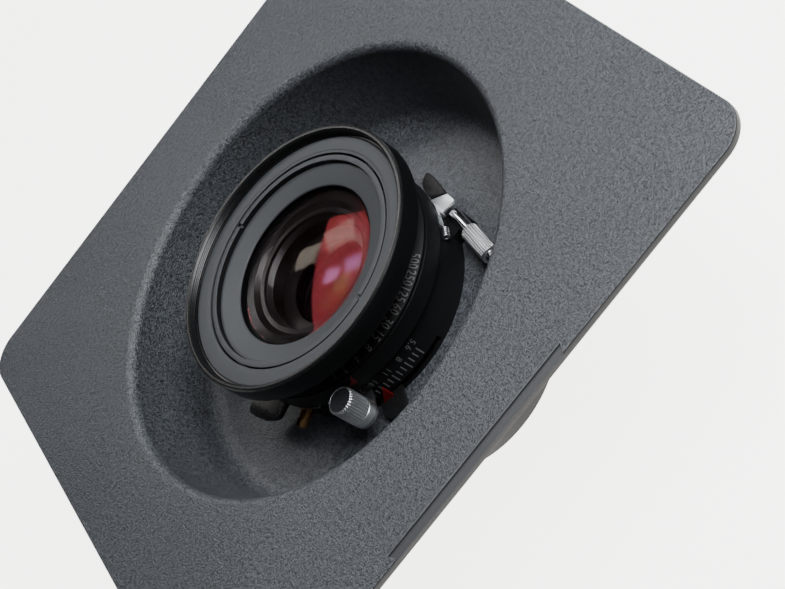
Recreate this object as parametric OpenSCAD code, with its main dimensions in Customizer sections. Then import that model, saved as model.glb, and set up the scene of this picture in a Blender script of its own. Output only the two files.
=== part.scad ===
// Wide-angle view camera lens in a leaf shutter, on a square recessed lens board.
// Stands on its rear rim with the front glass up: +Z is the optical axis out of the
// front, +Y points at the board edge with the lock rebate, +X is right from the front.
// Clock angles are in degrees, clockwise from +Y as seen from the front.

/* [Lens board] */
// Side of the square board
board_w = 171; // [170:0.5:174]
// Thickness of the board's plate and of the recess wall
board_t = 2; // [1.6:0.1:2.4]
// Radius of the board's corners
board_corner_r = 9; // [4:0.5:14]
// Depth of the recess, board front to shutter seat
recess_depth = 25.5; // [25:0.1:26.5]
// Radius of the recess just below its rounded lip
recess_r = 58.6; // [57:0.1:60]
// Radius of the rounded lip
lip_r = 2.4; // [1.5:0.1:3]
// Lean of the recess wall
wall_lean = 13.4; // [8:0.2:15]
// Radius between the recess wall and its floor
recess_fillet = 5; // [3:0.5:6]
// Radius of the hole for the shutter
board_hole_r = 17.3; // [17.2:0.05:17.5]
// Length of the lock rebate along the board edge
lock_len = 55.5; // [40:0.5:80]
// Width of the lock rebate
lock_w = 2.5; // [2:0.1:4]
// Depth of the lock rebate
lock_depth = 0.5; // [0.3:0.1:1]

/* [Shutter] */
// Rear rim of the lens to the shutter's seat
seat_z = 37.5; // [37.5:0.1:38.5]
// Radius of the shutter case
case_r = 29.6; // [29.5:0.05:29.7]
// Radius of the front cover's rim
cover_r = 31.2; // [31:0.05:31.4]
// Outer radius of the mounting thread
mount_thread_r = 16.25; // [16.2:0.01:16.3]
// Radius of the threads that hold the two lens cells
cell_thread_r = 14.75; // [14.6:0.01:14.76]
// Number of iris blades
iris_blades = 5; // [5:1:5]
// Number of shutter blades
shutter_blades = 5; // [5:1:5]

/* [Levers] */
// Clock angle of the aperture pointer
aperture_a = 20.3; // [14:0.1:24]
// Turn of the pointer from the middle of its scale to either end
aperture_swing = 24.6; // [20:0.1:24.6]
// Clock angle of the cocking knob
cocking_a = 29; // [28:0.5:30]
// Distance of the cocking knob from the axis
cocking_knob_at = 35.4; // [35.2:0.1:36]
// Radius of the cocking knob
knob_r = 3.55; // [3.2:0.05:3.6]
// Height of the cocking knob
knob_h = 8.8; // [7:0.1:9]
// Clock angle of the press focus lever
focus_a = 87; // [84:0.5:90]
// Clock angle of the flash terminal
terminal_a = 62; // [62:0.1:64]

/* [Lens cells] */
// Radius of the front rim
front_rim_r = 34.9; // [34.5:0.1:35.3]
// Height of the front rim above the board's front
front_rise = 4.4; // [4.2:0.1:4.6]
// Radius of the filter thread
filter_r = 33.25; // [33.1:0.05:33.4]
// Radius of the rear rim
rear_rim_r = 30.7; // [30:0.1:31.5]

/* [Hidden] */
$fn = 96;

// Heights of the main faces above the rear rim
board_front_z = seat_z + recess_depth;
board_back_z = board_front_z - board_t;
front_rim_z = board_front_z + front_rise;

// Shutter case: floor, wall and the slots through the wall
case_floor_t = 0.8;
case_wall_t = 1.4;
case_top_z = seat_z + 11.9;
tube_rear_z = seat_z - 6.2;
tube_clear = 0.05;
hub_wall_t = 2;
hub_r = cell_thread_r + tube_clear + hub_wall_t;
ring_bore_r = hub_r + 0.3;

// Layers inside the case, from the seat towards the front
iris_ring_z = seat_z + 1.1;
iris_ring_t = 0.8;
iris_z = seat_z + 2.3;
blade_t = 0.2;
blade_pitch = 0.35;
plate_z = seat_z + 4.3;
plate_t = 0.6;
leaf_z = seat_z + 5.3;
blade_ring_z = seat_z + 7.3;
blade_ring_t = 0.6;
drive_ring_z = seat_z + 8.3;
drive_ring_t = 0.8;
mech_plate_z = seat_z + 10.9;
mech_plate_t = 1;
cover_z = seat_z + 11.9;
cover_t = 0.8;
cover_rim_z = seat_z + 16.3;
cam_z = seat_z + 13;
cam_t = 0.6;
speed_low_z = seat_z + 13.9;
speed_top_z = seat_z + 19.5;
hub_top_z = seat_z + 19.6;

// Iris blades: inner and outer edge, pivot circle and swing at rest
iris_in_r = 12.5;
iris_out_r = 19.6;
iris_pivot_r = 21;
iris_rest = 22.5;
iris_span = 98;
iris_ratio = 19 / 49.2;

// Shutter blades: inner and outer edge, pivot circle and swing when closed
leaf_in_r = 12.2;
leaf_out_r = 21.4;
leaf_pivot_r = 23;
leaf_rest = 32.8;
leaf_span = 125;

// Pivot and drive pins of both sets of blades
pin_r = 0.5;
pin_hole_r = 0.56;
pin_back_a = 8;
blade_tab_r = 1.9;

// Cocking lever and its slot
cocking_swing = 23;
arm_z = seat_z + 6.4;
arm_t = 0.8;

// Press focus lever
focus_swing = 10;

// Cable release: start, lean and lengths
socket_x = -31.4;
socket_y = 5.9;
socket_z = seat_z + 3.9;
socket_lean = 4.3;
socket_tube_r = 1.65;
socket_bore_r = 1.3;
socket_start = 2.2;
socket_len = 23.2;
sleeve_at = 10.6;
sleeve_len = 11.3;
sleeve_r = 2.375;

// Flash terminal
terminal_z = seat_z + 7.5;
terminal_tip = 35.2;

// Position on the face of the shutter, from a clock angle and a radius
function at(a, r) = [r * sin(a), r * cos(a)];

// Points of an arc about a centre, from angle a0 to a1, in n steps
function arc(cx, cy, r, a0, a1, n) =
    [for (i = [0:n]) [cx + r * cos(a0 + (a1 - a0) * i / n), cy + r * sin(a0 + (a1 - a0) * i / n)]];

// Points of a lens face: from the axis out to semi-aperture h, vertex at z, radius of
// curvature rc, positive when the face falls away towards the rear
function lens_face(z, rc, h, n) =
    [for (i = [0:n]) let (r = h * i / n) [r, z - sign(rc) * sag(abs(rc), r)]];

// Height of a curve of radius rc at semi-aperture h
function sag(rc, h) = rc - sqrt(rc * rc - h * h);

function reversed(v) = [for (i = [len(v) - 1:-1:0]) v[i]];

module clock(a) {
    rotate([0, 0, -a]) children();
}

module disc(r, z0, z1) {
    translate([0, 0, z0]) cylinder(r = r, h = z1 - z0);
}

module ring(ro, ri, z0, z1) {
    difference() {
        disc(ro, z0, z1);
        disc(ri, z0 - 1, z1 + 1);
    }
}

module turned(points) {
    rotate_extrude() polygon(points);
}

// Wedge from clock angle a0 to a1, at most 150 degrees wide
module wedge(a0, a1, z0, z1) {
    reach = 90;
    far = [for (i = [0:4]) at(a0 + (a1 - a0) * i / 4, reach)];
    translate([0, 0, z0]) linear_extrude(z1 - z0) polygon(concat([[0, 0]], far));
}

module arc_block(ri, ro, a0, a1, z0, z1) {
    intersection() {
        ring(ro, ri, z0, z1);
        wedge(a0, a1, z0 - 1, z1 + 1);
    }
}

// Straight bar along +Y from y0 to y1
module bar(w, y0, y1, z0, z1) {
    translate([-w / 2, y0, z0]) cube([w, y1 - y0, z1 - z0]);
}

// Radial cylinder along +Y from y0 to y1 at height z
module rod(r, y0, y1, z) {
    translate([0, y0, z]) rotate([-90, 0, 0]) cylinder(r = r, h = y1 - y0);
}

// ---- Lens board ----

module board_outline() {
    h = board_w / 2;
    c = h - board_corner_r;
    square([board_w, 2 * c], center = true);
    square([2 * c, board_w], center = true);
    for (x = [-c, c], y = [-c, c]) translate([x, y]) circle(r = board_corner_r);
}

module lens_board() {
    lip_z = board_front_z - lip_r;
    lip_at = recess_r + lip_r;
    // centre of the fillet between wall and floor
    fz = seat_z + recess_fillet;
    wall_drop = lip_z - fz + recess_fillet * sin(wall_lean);
    fr = recess_r - wall_drop * tan(wall_lean) - recess_fillet * cos(wall_lean);
    out_f = recess_fillet + board_t;
    out_top_r = recess_r + (board_back_z - lip_z) * tan(wall_lean) + board_t / cos(wall_lean);
    inside = concat(
        arc(lip_at, lip_z, lip_r, 90, 180, 6),
        arc(fr, fz, recess_fillet, -wall_lean, -90, 6));
    outside = arc(fr, fz, out_f, -90, -wall_lean, 6);
    color("dimgray") difference() {
        union() {
            difference() {
                translate([0, 0, board_back_z]) linear_extrude(board_t) board_outline();
                disc(lip_at, board_back_z - 1, board_front_z + 1);
            }
            turned(concat(inside,
                [[board_hole_r, seat_z], [board_hole_r, seat_z - board_t]],
                outside,
                [[min(out_top_r, lip_at - 0.1), board_back_z], [lip_at, board_back_z]]));
        }
        lock_rebate();
        clock(180) translate([0, stud_at, seat_z - board_t - 1]) cylinder(r = stud_r + 0.15, h = board_t + 2);
    }
}

// The rebate is a trapezoid with its longer side inward
module lock_rebate() {
    y_in = board_w / 2 - lock_w;
    y_out = board_w / 2 + 1;
    half = lock_len / 2;
    slant = 1.6;
    translate([0, 0, board_front_z - lock_depth]) linear_extrude(lock_depth + 1)
        polygon([[-half, y_in], [half, y_in], [half - slant, y_out], [slant - half, y_out]]);
}

nut_clear = 0.08;
nut_r = 20.6;
nut_t = 2.9;

module jam_nut() {
    nut_top = seat_z - board_t;
    color("black") difference() {
        ring(nut_r, mount_thread_r + nut_clear, nut_top - nut_t, nut_top);
        for (a = [0:90:270]) clock(a) bar(3, nut_r - 1.6, nut_r + 1, nut_top - nut_t - 1, nut_top - nut_t + 1.5);
    }
}

// ---- Shutter case and fixed plates ----

stud_at = 22;
stud_r = 1.1;

module shutter_case() {
    wall_in = case_r - case_wall_t;
    floor_z = seat_z + case_floor_t;
    tube_top = iris_z - 0.3;
    color("black") difference() {
        union() {
            ring(case_r, wall_in, seat_z, case_top_z);
            ring(wall_in + 0.2, cell_thread_r + tube_clear + 0.6, seat_z, floor_z);
            ring(mount_thread_r, cell_thread_r + tube_clear, tube_rear_z, tube_top);
        }
        // aperture lever
        arc_block(wall_in - 0.5, case_r + 1, aperture_a - aperture_swing - 10,
            aperture_a + aperture_swing + 10, floor_z, iris_ring_z + iris_ring_t + 0.6);
        // cocking lever
        arc_block(wall_in - 1, case_r + 1, cocking_a - 7, cocking_a + cocking_swing + 7,
            arm_z - 0.3, arm_z + arm_t + 0.3);
        // press focus lever
        arc_block(wall_in - 1, case_r + 1, focus_a - 8, focus_a + focus_swing + 8,
            blade_ring_z - 0.3, blade_ring_z + blade_ring_t + 0.3);
        // release lever
        arc_block(wall_in - 1, case_r + 1, release_foot_a - 16, release_foot_a + 7,
            release_ring_z - 0.25, case_top_z + 1);
        // flash terminal
        clock(terminal_a) rod(terminal_neck_r + 0.1, wall_in - 1, case_r + 1, terminal_z);
        // socket bracket's foot
        clock(180) translate([0, stud_at, seat_z - 1]) cylinder(r = stud_r + 0.05, h = case_floor_t + 2);
    }
}

module locating_stud() {
    color("silver") clock(180) translate([0, stud_at, seat_z - board_t + 0.2])
        cylinder(r = stud_r, h = board_t + case_floor_t - 0.2);
}

// Fixed plate between the iris and the shutter blades, with the pivot holes of both
module blade_plate() {
    color("gray") difference() {
        ring(case_r - case_wall_t - 0.1, iris_in_r + 0.2, plate_z, plate_z + plate_t);
        for (i = [1:iris_blades])
            clock(72 * i) translate([0, iris_pivot_r, plate_z - 1]) cylinder(r = pin_hole_r, h = plate_t + 2, $fn = 32);
        for (i = [1:shutter_blades])
            clock(72 * i + 36) translate([0, leaf_pivot_r, plate_z - 1]) cylinder(r = pin_hole_r, h = plate_t + 2, $fn = 32);
    }
}

// Upper bearing plate with the hub that the rings turn on and the front cell screws into
module mechanism_plate() {
    color("gray") {
        ring(case_r - case_wall_t - 0.1, hub_r - 0.2, mech_plate_z, mech_plate_z + mech_plate_t);
        ring(hub_r, cell_thread_r + tube_clear, blade_ring_z - 0.1, hub_top_z);
    }
}

screw_head_r = 1.1;

module front_cover() {
    color("black") difference() {
        union() {
            ring(cover_r, hub_r + 0.05, cover_z, cover_z + cover_t);
            ring(cover_r, cover_r - 1.2, cover_z - 0.6, cover_rim_z);
        }
        for (a = [100:120:340]) clock(a) translate([0, 26, cover_z - 1]) cylinder(r = 0.75, h = cover_t + 2, $fn = 32);
    }
}

module cover_screws() {
    color("silver") for (a = [100:120:340]) clock(a) translate([0, 26, cover_z + 0.15]) difference() {
        cylinder(r = 0.7, h = cover_t + 0.1, $fn = 32);
        translate([-1, -0.12, cover_t - 0.15]) cube([2, 0.24, 1]);
    }
}

// Red triangle on the cover's rim that the speed numerals are read against
module speed_index() {
    z0 = cover_rim_z - 3.1;
    color("red") clock(index_a) intersection() {
        ring(cover_r + 0.12, cover_r + 0.005, z0 - 1, cover_rim_z + 1);
        translate([0, cover_r - 2, z0]) rotate([-90, 0, 0]) linear_extrude(4)
            polygon([[0.4, 0], [2.4, -0.2], [-0.1, -3]]);
    }
}
index_a = 21.6;

module speed_ring_clip() {
    color("gray") ring(hub_r + 2.4, hub_r - 0.4, hub_top_z + 0.02, hub_top_z + 0.7);
}

// Closely wound spring round the hub, below the bearing plate
module drive_spring() {
    wire = 0.25;
    color("silver") rotate_extrude() for (i = [0:2])
        translate([hub_r + 1.4, drive_ring_z + drive_ring_t + 0.5 + 0.49 * i]) circle(r = wire, $fn = 24);
}

// ---- Aperture scale ----

scale_t = 0.4;
scale_a0 = -12;
scale_a1 = 50;
scale_z0 = seat_z + 2.9;
scale_z1 = seat_z + 10.1;

module aperture_scale_plate() {
    color("black") difference() {
        arc_block(case_r + 0.02, case_r + scale_t, scale_a0, scale_a1, scale_z0, scale_z1);
        arc_block(case_r - 1, case_r + 2, cocking_a - 7, scale_a1 + 3, arm_z - 0.3, arm_z + arm_t + 0.3);
        for (a = [scale_a0 + 2.5, scale_a1 - 2.5])
            clock(a) rod(0.55, case_r - 1, case_r + 2, scale_z1 - 1.3, $fn = 24);
    }
}

module scale_plate_screws() {
    color("silver") for (a = [scale_a0 + 2.5, scale_a1 - 2.5])
        clock(a) rod(0.5, case_r + 0.03, case_r + scale_t + 0.1, scale_z1 - 1.3, $fn = 24);
}

// ---- Cable release ----

// Moves to the start of the release tube, with +Z along it
module at_socket() {
    translate([socket_x, socket_y, socket_z]) rotate([-90, 0, -socket_lean]) children();
}

module socket_bracket() {
    color("black") difference() {
        union() {
            translate([socket_x - 1.4, socket_y + 1.4, seat_z + 0.3]) cube([4.1, 5.6, 3.6]);
            translate([socket_x + 2, socket_y + 1.4, seat_z + 0.3]) cube([6, 5.6, 3.6]);
        }
        disc(case_r + 0.02, seat_z, case_top_z);
        at_socket() translate([0, 0, -5]) cylinder(r = socket_tube_r + 0.03, h = 30, $fn = 48);
    }
}

module cable_release_tube() {
    color("silver") at_socket() difference() {
        translate([0, 0, socket_start]) cylinder(r = socket_tube_r, h = socket_len - socket_start, $fn = 48);
        translate([0, 0, -1]) cylinder(r = socket_bore_r, h = socket_len + 2, $fn = 48);
    }
}

// Knurled sleeve: fine grooves along its length
module cable_release_sleeve() {
    grooves = 22;
    color("lightgray") at_socket() translate([0, 0, sleeve_at]) difference() {
        cylinder(r = sleeve_r, h = sleeve_len, $fn = 64);
        translate([0, 0, -1]) cylinder(r = socket_tube_r + 0.03, h = sleeve_len + 2, $fn = 48);
        for (i = [1:grooves]) rotate([0, 0, 360 * i / grooves])
            translate([sleeve_r, 0, 0.5]) cylinder(r = 0.2, h = sleeve_len - 1.1, $fn = 4);
    }
}

// Small spring beside the release lever
module release_spring() {
    color("silver") clock(-60.5) translate([-1.6, case_r + 1.05, seat_z + 8.2]) rotate([0, 90, 0])
        rotate_extrude($fn = 32) for (i = [0:4]) translate([0.75, 0.25 + 0.58 * i]) circle(r = 0.28, $fn = 16);
}

// ---- Flash terminal ----

terminal_shell_r = 1.5;
terminal_neck_r = 1.1;
terminal_bore_r = 0.85;
terminal_pin_r = 0.45;

module terminal_shell() {
    color("goldenrod") clock(terminal_a) difference() {
        union() {
            rod(terminal_shell_r, case_r + 0.1, terminal_tip, terminal_z);
            rod(terminal_shell_r + 0.2, case_r + 0.1, case_r + 1.6, terminal_z);
            rod(terminal_neck_r, case_r - 1.3, case_r + 0.2, terminal_z);
        }
        rod(terminal_bore_r, case_r - 3, terminal_tip + 1, terminal_z);
        rod(terminal_shell_r - 0.35, case_r + 0.6, terminal_tip + 1, terminal_z);
        translate([-0.5, case_r + 3.9, terminal_z]) cube([1, 10, 3]);
    }
}

module terminal_insulator() {
    color("black") clock(terminal_a) difference() {
        rod(terminal_bore_r - 0.02, case_r - 1.2, terminal_tip - 3.4, terminal_z);
        rod(terminal_pin_r + 0.02, case_r - 3, terminal_tip, terminal_z);
    }
}

module terminal_pin() {
    color("goldenrod") clock(terminal_a) rod(terminal_pin_r, case_r - 1.25, terminal_tip - 1, terminal_z);
}

// Toothed steel strip on the case above the flash terminal
module terminal_clip() {
    color("silver") difference() {
        arc_block(case_r + 0.02, case_r + 1.5, 50, 73, seat_z + 9.3, seat_z + 10.1);
        for (a = [51:1.6:72]) clock(a) bar(0.4, case_r + 1, case_r + 2, seat_z + 9, seat_z + 10.6);
    }
}

// ---- Front lens cell ----

barrel_low_z = hub_top_z + 1.2;
shelf_z = front_rim_z - 3.1;
trim_top_z = shelf_z + 0.7;
trim_r = 32.8;
front_glass_r = 22.5;
front_bore_r = 13.65;

module front_barrel() {
    r_in = cell_thread_r - 1.1;
    color("black") turned([
        [r_in, blade_ring_z + 1.4], [cell_thread_r - 0.4, blade_ring_z + 1.4],
        [cell_thread_r - 0.4, seat_z + 12.5], [cell_thread_r, seat_z + 12.5],
        [cell_thread_r, barrel_low_z - 0.4], [hub_r - 0.5, barrel_low_z - 0.4],
        [25, barrel_low_z + 0.2], [front_rim_r - 1.3, barrel_low_z + 1.8],
        [front_rim_r, barrel_low_z + 3.1], [front_rim_r, front_rim_z - 0.4],
        [front_rim_r - 0.4, front_rim_z], [filter_r + 0.45, front_rim_z],
        [filter_r, front_rim_z - 0.45], [filter_r, trim_top_z + 0.02],
        [trim_r + 0.05, trim_top_z + 0.02], [trim_r + 0.05, shelf_z],
        [28.35, shelf_z], [28.35, shelf_z - 2.6], [26.3, shelf_z - 2.6],
        [23.6, front_seat_z + 1.2], [front_glass_r + 0.05, front_seat_z + 1.2],
        [front_glass_r + 0.05, front_seat_z], [20.6, front_seat_z],
        [17.4, front_seat_z - 0.45], [r_in, front_seat_z - 3.4]]);
}
front_seat_z = seat_z + 22;

module front_trim_ring() {
    color("gray") turned([
        [28.4, shelf_z + 0.02], [trim_r, shelf_z + 0.02],
        [trim_r, trim_top_z - 0.2], [trim_r - 0.3, trim_top_z], [28.4, trim_top_z]]);
}

// Threaded ring with two spanner notches
module front_retaining_ring() {
    z0 = shelf_z - 2.5;
    color("dimgray") difference() {
        ring(27.9, 26.5, z0, shelf_z + 0.45);
        for (a = [-10, 170]) clock(a) bar(1, 26, 29, shelf_z - 0.5, shelf_z + 1);
    }
}

// Conical ring that leads in to the front glass
module front_baffle_cone() {
    edge_z = front_seat_z + 2.4;
    color("gray") turned([
        [20.9, edge_z], [21.3, edge_z - 0.5], [25.9, shelf_z - 1.5],
        [26.4, shelf_z - 1.5], [26.4, shelf_z - 0.9], [25.7, shelf_z - 0.9],
        [21.1, edge_z + 0.3]]);
}

module front_element() {
    vertex = trim_top_z - 0.1;
    low = front_seat_z + 0.02;
    color("lightblue", 0.4) turned(concat(
        lens_face(vertex, 52, 20.6, 10),
        [[front_glass_r, low + 0.7], [front_glass_r, low], [20.05, low]],
        reversed(lens_face(low + sag(60, 20), 60, 20, 10))));
}

module front_second_element() {
    low = seat_z + 13.5;
    color("lightblue", 0.4) turned(concat(
        lens_face(low + 4.6, 24, 10.4, 8),
        [[front_bore_r - 0.05, low + 2.2], [front_bore_r - 0.05, low], [10.5, low]],
        reversed(lens_face(low + 2.9, 20.5, 10.4, 8))));
}

module front_inner_group() {
    low = seat_z + 9.2;
    color("lightblue", 0.4) turned(concat(
        lens_face(low + 5.4, 28, 12, 8),
        [[front_bore_r - 0.05, low + 2.2], [front_bore_r - 0.05, low + 0.6]],
        reversed(lens_face(low, -60, 12, 6))));
}

// ---- Rear lens cell ----

rear_bore_r = 27.2;

module rear_barrel() {
    r_in = cell_thread_r - 1.1;
    neck_z = tube_rear_z - 0.1;
    color("black") turned([
        [r_in, iris_z - 0.4], [cell_thread_r, iris_z - 0.4],
        [cell_thread_r, neck_z], [17.6, neck_z], [17.6, neck_z - 1.6],
        [19.4, neck_z - 3], [rear_rim_r - 1.2, 12], [rear_rim_r, 10.4],
        [rear_rim_r, 0.4], [rear_rim_r - 0.4, 0], [rear_bore_r + 0.4, 0],
        [rear_bore_r, 0.4], [rear_bore_r, 14.2], [20.5, 14.2],
        [15.6, neck_z - 7], [r_in, neck_z - 3.6]]);
}

module rear_retaining_ring() {
    color("black") difference() {
        ring(rear_bore_r - 0.05, 25, 7.6, 10.6);
        for (a = [90, 270]) clock(a) bar(1.6, 24, 28, 6.6, 8.6);
    }
}

module rear_element() {
    low = 1.8;
    edge = 14.15;
    color("lightblue", 0.4) turned(concat(
        lens_face(low, -40, 24.9, 10),
        [[24.9, 10.65], [rear_bore_r - 0.05, 10.65], [rear_bore_r - 0.05, edge], [19.8, edge]],
        reversed(lens_face(edge - 9.1, -26, 19.75, 10))));
}

module rear_second_element() {
    low = seat_z - 17.2;
    color("lightblue", 0.4) turned(concat(
        lens_face(low, -24, 12.6, 8),
        [[13.6, low + 3.6], [13.6, low + 6.4], [10.6, low + 6.4]],
        reversed(lens_face(low + 3.2, -20, 10.5, 8))));
}

module rear_inner_group() {
    low = seat_z - 8;
    color("lightblue", 0.4) turned(concat(
        lens_face(low, -28, 12, 8),
        [[13.6, low + 2.9], [13.6, low + 4.6]],
        reversed(lens_face(low + 5.4, 60, 12, 6))));
}

// ---- Speed setting ring ----

module speed_ring() {
    r_out = cover_r - 0.3;
    r_in = cover_r - 1.6;
    bore = ring_bore_r;
    color("black") turned([
        [bore, speed_low_z + 3.4], [bore + 1, speed_low_z + 3.4], [r_in - 2.4, speed_low_z + 3.4],
        [r_in - 1.2, speed_low_z + 2.6], [r_in - 1.2, speed_low_z],
        [r_in, speed_low_z], [r_in, cover_rim_z + 0.25],
        [r_out, cover_rim_z + 0.25], [r_out, cover_rim_z + 0.7],
        [27.2, speed_top_z], [bore, speed_top_z]]);
}

// Thin plate under the speed ring, with the cam slots that set the speeds
module speed_cam_ring() {
    color("silver") difference() {
        ring(cover_r - 1.6, ring_bore_r, cam_z, cam_z + cam_t);
        for (a = [60:90:330]) arc_block(21, 23, a, a + 40, cam_z - 1, cam_z + cam_t + 1);
        arc_block(25.3, 27.2, 100, 160, cam_z - 1, cam_z + cam_t + 1);
    }
}

// ---- Aperture setting ----

module aperture_lever() {
    z0 = iris_ring_z;
    z1 = iris_ring_z + 1;
    tip = 36.8;
    half_w = 3.4;
    color("black") clock(aperture_a) {
        bar(2 * half_w, 27.4, tip - half_w, z0, z1);
        translate([0, tip - half_w, z0]) cylinder(r = half_w, h = z1 - z0);
    }
}

// Upright triangular plate on the lever, with its point towards the scale
module aperture_pointer() {
    r0 = case_r + scale_t + 0.45;
    z0 = iris_ring_z + 1.02;
    color("red") clock(aperture_a) translate([0, r0, 0]) rotate([90, 0, 0]) translate([0, 0, -0.7])
        linear_extrude(0.7) polygon([[-0.7, z0], [2.5, z0], [-0.4, z0 + 3.9], [-0.7, z0 + 3.9]]);
}

// Ring behind the iris blades, with a slot for each blade's drive pin
module iris_ring() {
    color("silver") difference() {
        union() {
            ring(27, 17.4, iris_ring_z, iris_ring_z + iris_ring_t);
            clock(aperture_a) bar(6, 26, 27.38, iris_ring_z, iris_ring_z + iris_ring_t);
        }
        for (i = [1:iris_blades]) arc_block(20.9, 23.3, 72 * i - 7.5 - aperture_swing - 2,
            72 * i - 7.5 + aperture_swing + 2, iris_ring_z - 1, iris_ring_z + iris_ring_t + 1);
    }
}

// Crescent blade on its pivot pin, turned inwards by swing, with a drive pin on its tail
module blade(p, ri, ro, pivot_r, span, swing, z, pivot_z0, pivot_z1, drive_z0, drive_z1) {
    clock(p) translate([0, pivot_r, 0]) clock(swing) translate([0, -pivot_r, 0]) {
        arc_block(ri, ro, -4, span, z, z + blade_t);
        translate([0, pivot_r, z]) cylinder(r = blade_tab_r, h = blade_t, $fn = 32);
        arc_block(ro - 0.5, pivot_r + 0.9, -pin_back_a - 2.2, 2, z, z + blade_t);
        translate([0, pivot_r, pivot_z0]) cylinder(r = pin_r, h = pivot_z1 - pivot_z0, $fn = 32);
        clock(-pin_back_a) translate([0, pivot_r, drive_z0])
            cylinder(r = pin_r, h = drive_z1 - drive_z0, $fn = 32);
    }
}

module iris_blade(i) {
    z = iris_z + blade_pitch * (i - 1);
    color("dimgray") blade(72 * i, iris_in_r, iris_out_r, iris_pivot_r, iris_span, iris_rest, z,
        z, plate_z + plate_t - 0.1, iris_ring_z + 0.1, z + blade_t);
}

// ---- Cocking lever ----

module cocking_lever() {
    root_r = 26.8;
    color("silver") clock(cocking_a) {
        bar(5, root_r, cocking_knob_at, arm_z, arm_z + arm_t);
        translate([0, cocking_knob_at, arm_z]) cylinder(r = knob_r - 0.1, h = arm_t);
    }
}

module cocking_knob() {
    z0 = arm_z + arm_t;
    grooves = 30;
    base_h = 2.2;
    color("lightgray") clock(cocking_a) translate([0, cocking_knob_at, z0]) difference() {
        cylinder(r = knob_r, h = knob_h);
        translate([0, 0, knob_h - 0.5]) cylinder(r = knob_r - 0.45, h = 1);
        for (i = [1:grooves]) rotate([0, 0, 360 * i / grooves])
            translate([knob_r, 0, base_h]) cylinder(r = 0.2, h = knob_h, $fn = 4);
    }
}

// Ring that the cocking lever winds, with the block that carries the lever
module drive_ring() {
    color("silver") {
        ring(28, ring_bore_r, drive_ring_z, drive_ring_z + drive_ring_t);
        arc_block(26.6, 28, cocking_a - 5, cocking_a + 5, arm_z + arm_t, drive_ring_z + 0.1);
    }
}

// ---- Release lever ----

release_ring_z = seat_z + 9.65;
release_foot_a = -66;
release_plate_z = seat_z + 5.85;
release_plate_t = 0.75;
release_r = case_r + 0.35;
release_y = 4;

// Flat tab over the start of the cable socket, with a flange turned down for the cable's
// plunger; a strip round the case joins it to the foot inside the case
module release_lever() {
    r1 = release_r + 0.8;
    z0 = release_plate_z;
    foot_z = release_ring_z;
    foot_top = foot_z + 0.8;
    color("silver") {
        difference() {
            union() {
                translate([0, 0, z0]) linear_extrude(release_plate_t) polygon([
                    [-33.9, 4.3], [-33.9, 7.6], [-33.4, 8.1], [-28.6, 7.2], [-29, 1.2], [-30.4, 1.2]]);
                translate([-33.3, release_y, z0 - 3.3]) cube([4.3, 0.9, 3.4]);
            }
            disc(release_r, z0 - 4, z0 + 2);
        }
        arc_block(release_r, r1, -80, -74, z0, foot_z - 0.2);
        arc_block(release_r, r1, -80, release_foot_a + 2, foot_z - 1.2, foot_z - 0.2);
        arc_block(release_r, r1, release_foot_a - 3, release_foot_a + 2, foot_z - 1.2, foot_top);
        arc_block(24, r1, release_foot_a - 3, release_foot_a + 2, foot_z, foot_top);
        arc_block(24, 27.6, release_foot_a - 14, release_foot_a + 6, foot_z, foot_top);
    }
}

// Leaf-shaped finger tab on the release lever
module release_tab() {
    color("black") translate([0, 0, release_plate_z + 0.05]) linear_extrude(1.1) polygon([
        [-33.9, 4.27], [-34.2, 1.4], [-34.5, -1.4], [-34.9, -4.2], [-34.8, -6], [-34.2, -6.5],
        [-33, -6.1], [-31.7, -5.2], [-30.9, -3.4], [-30.5, -1.2], [-30.4, 1.17]]);
}

// ---- Press focus lever ----

// Arm through the case with a rounded wing; edge holds clock offsets and radii
module press_focus_lever() {
    z0 = blade_ring_z;
    edge = [[7, 34], [7.3, 37.8], [6.3, 38.7], [4, 38.9], [0, 38.4], [-4, 37.6], [-8, 36.6],
        [-11, 35.4], [-12, 34.6]];
    color("black") {
        arc_block(25.8, 34, focus_a - 6, focus_a + 6, z0, z0 + blade_ring_t);
        difference() {
            translate([0, 0, z0]) linear_extrude(1.2) polygon(concat([[0, 0]],
                [for (p = reversed(edge)) at(focus_a + p[0], p[1])]));
            disc(case_r + 0.6, z0 - 1, z0 + 3);
        }
    }
}

// Ring that opens and closes the shutter blades
module blade_ring() {
    color("silver") difference() {
        ring(26.2, ring_bore_r, blade_ring_z, blade_ring_z + blade_ring_t);
        for (i = [1:shutter_blades]) arc_block(22.2, 25.6, 72 * i + 36 - 20, 72 * i + 36 - 4.5,
            blade_ring_z - 1, blade_ring_z + blade_ring_t + 1);
        arc_block(25.79, 27, focus_a - 6.02, focus_a + 6.02, blade_ring_z - 1, blade_ring_z + 2);
    }
}

module shutter_blade(i) {
    z = leaf_z + blade_pitch * (i - 1);
    color("black") blade(72 * i + 36, leaf_in_r, leaf_out_r, leaf_pivot_r, leaf_span, leaf_rest, z,
        plate_z + 0.1, z + blade_t, z, blade_ring_z + blade_ring_t - 0.1);
}

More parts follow.
